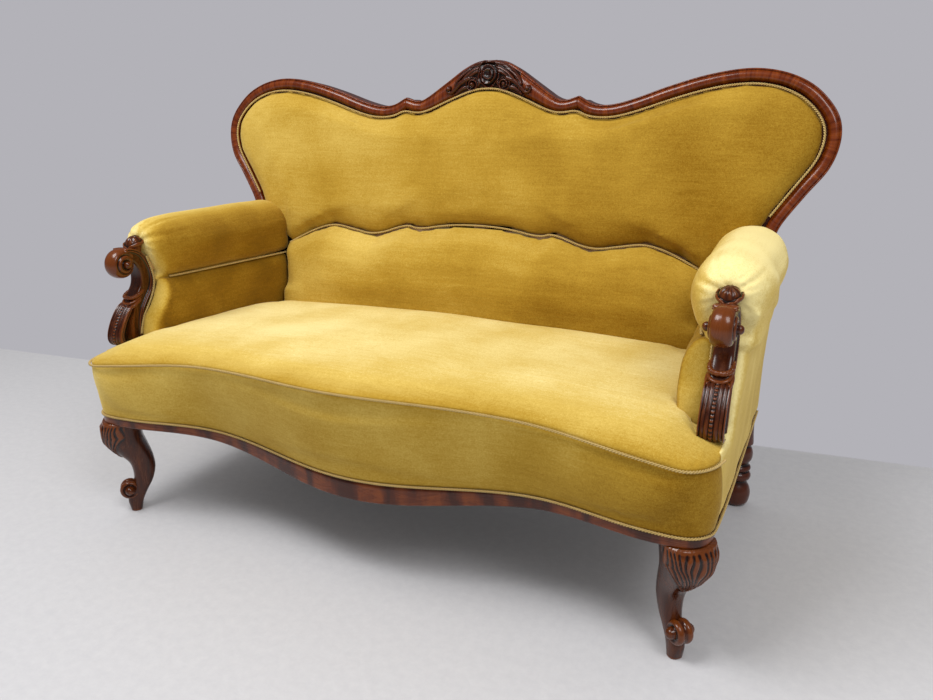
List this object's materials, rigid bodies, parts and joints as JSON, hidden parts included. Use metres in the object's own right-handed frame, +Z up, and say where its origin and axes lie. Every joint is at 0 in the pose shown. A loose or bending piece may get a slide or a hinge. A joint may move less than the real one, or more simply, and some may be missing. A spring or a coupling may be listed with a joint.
{
  "type": "cabriole sofa",
  "caption": "Upholstered cabriole sofa with a serpentine front, shaped show-wood back with a carved crest, rolled arms on carved scroll supports and cabriole front legs.",
  "frame": {"origin": "on the floor, at the middle of the sofa's width and depth", "axes": "+Z up, front faces -Y, +X to the right of somebody looking at the front"},
  "size_m": [1.7046, 0.8567, 1.1113],
  "materials": {
    "beech": "planed, unfinished",
    "cord": "twisted two-ply cord",
    "hessian": "plain-woven hessian",
    "jute": "woven jute webbing",
    "lining": "black cotton lining",
    "mahogany": "French polished, semi-gloss",
    "spring_steel": "copper-washed spring wire",
    "velvet": "old-gold mohair velvet"
  },
  "bodies": {
    "root": {"arm_front_cord_left": "cord", "arm_front_cord_right": "cord", "arm_lower_pad_left": "velvet", "arm_lower_pad_right": "velvet", "arm_outer_panel_left": "velvet", "arm_outer_panel_right": "velvet", "arm_roll_left": "velvet", "arm_roll_right": "velvet", "arm_seam_cord_left": "cord", "arm_seam_cord_right": "cord", "arm_slat_left": "beech", "arm_slat_right": "beech", "arm_support_left": "mahogany", "arm_support_right": "mahogany", "arm_top_rail_left": "beech", "arm_top_rail_right": "beech", "back_bottom_rail": "beech", "back_cross_rail": "beech", "back_frame_cord": "cord", "back_frame_crest": "mahogany", "back_frame_left": "mahogany", "back_frame_right": "mahogany", "back_moulding_crest": "mahogany", "back_moulding_left": "mahogany", "back_moulding_right": "mahogany", "back_muntins": "beech", "back_pad": "velvet", "back_post_left": "beech", "back_post_right": "beech", "back_webbing": "jute", "corner_blocks": "beech", "dust_cover": "lining", "front_leg_left": "mahogany", "front_leg_right": "mahogany", "front_polished_rail": "mahogany", "front_rail_core": "beech", "leg_dowels": "beech", "lumbar_pad": "velvet", "lumbar_seam_cord": "cord", "outside_back_panel": "lining", "rail_cord": "cord", "rear_leg_left": "mahogany", "rear_leg_right": "mahogany", "seat_back_rail": "beech", "seat_front_border": "velvet", "seat_pad": "velvet", "seat_seam_cord": "cord", "seat_side_rail_left": "beech", "seat_side_rail_right": "beech", "seat_springs": "spring_steel", "seat_stretcher": "beech", "seat_webbing": "jute", "spring_hessian": "hessian"}
  },
  "joints": []
}
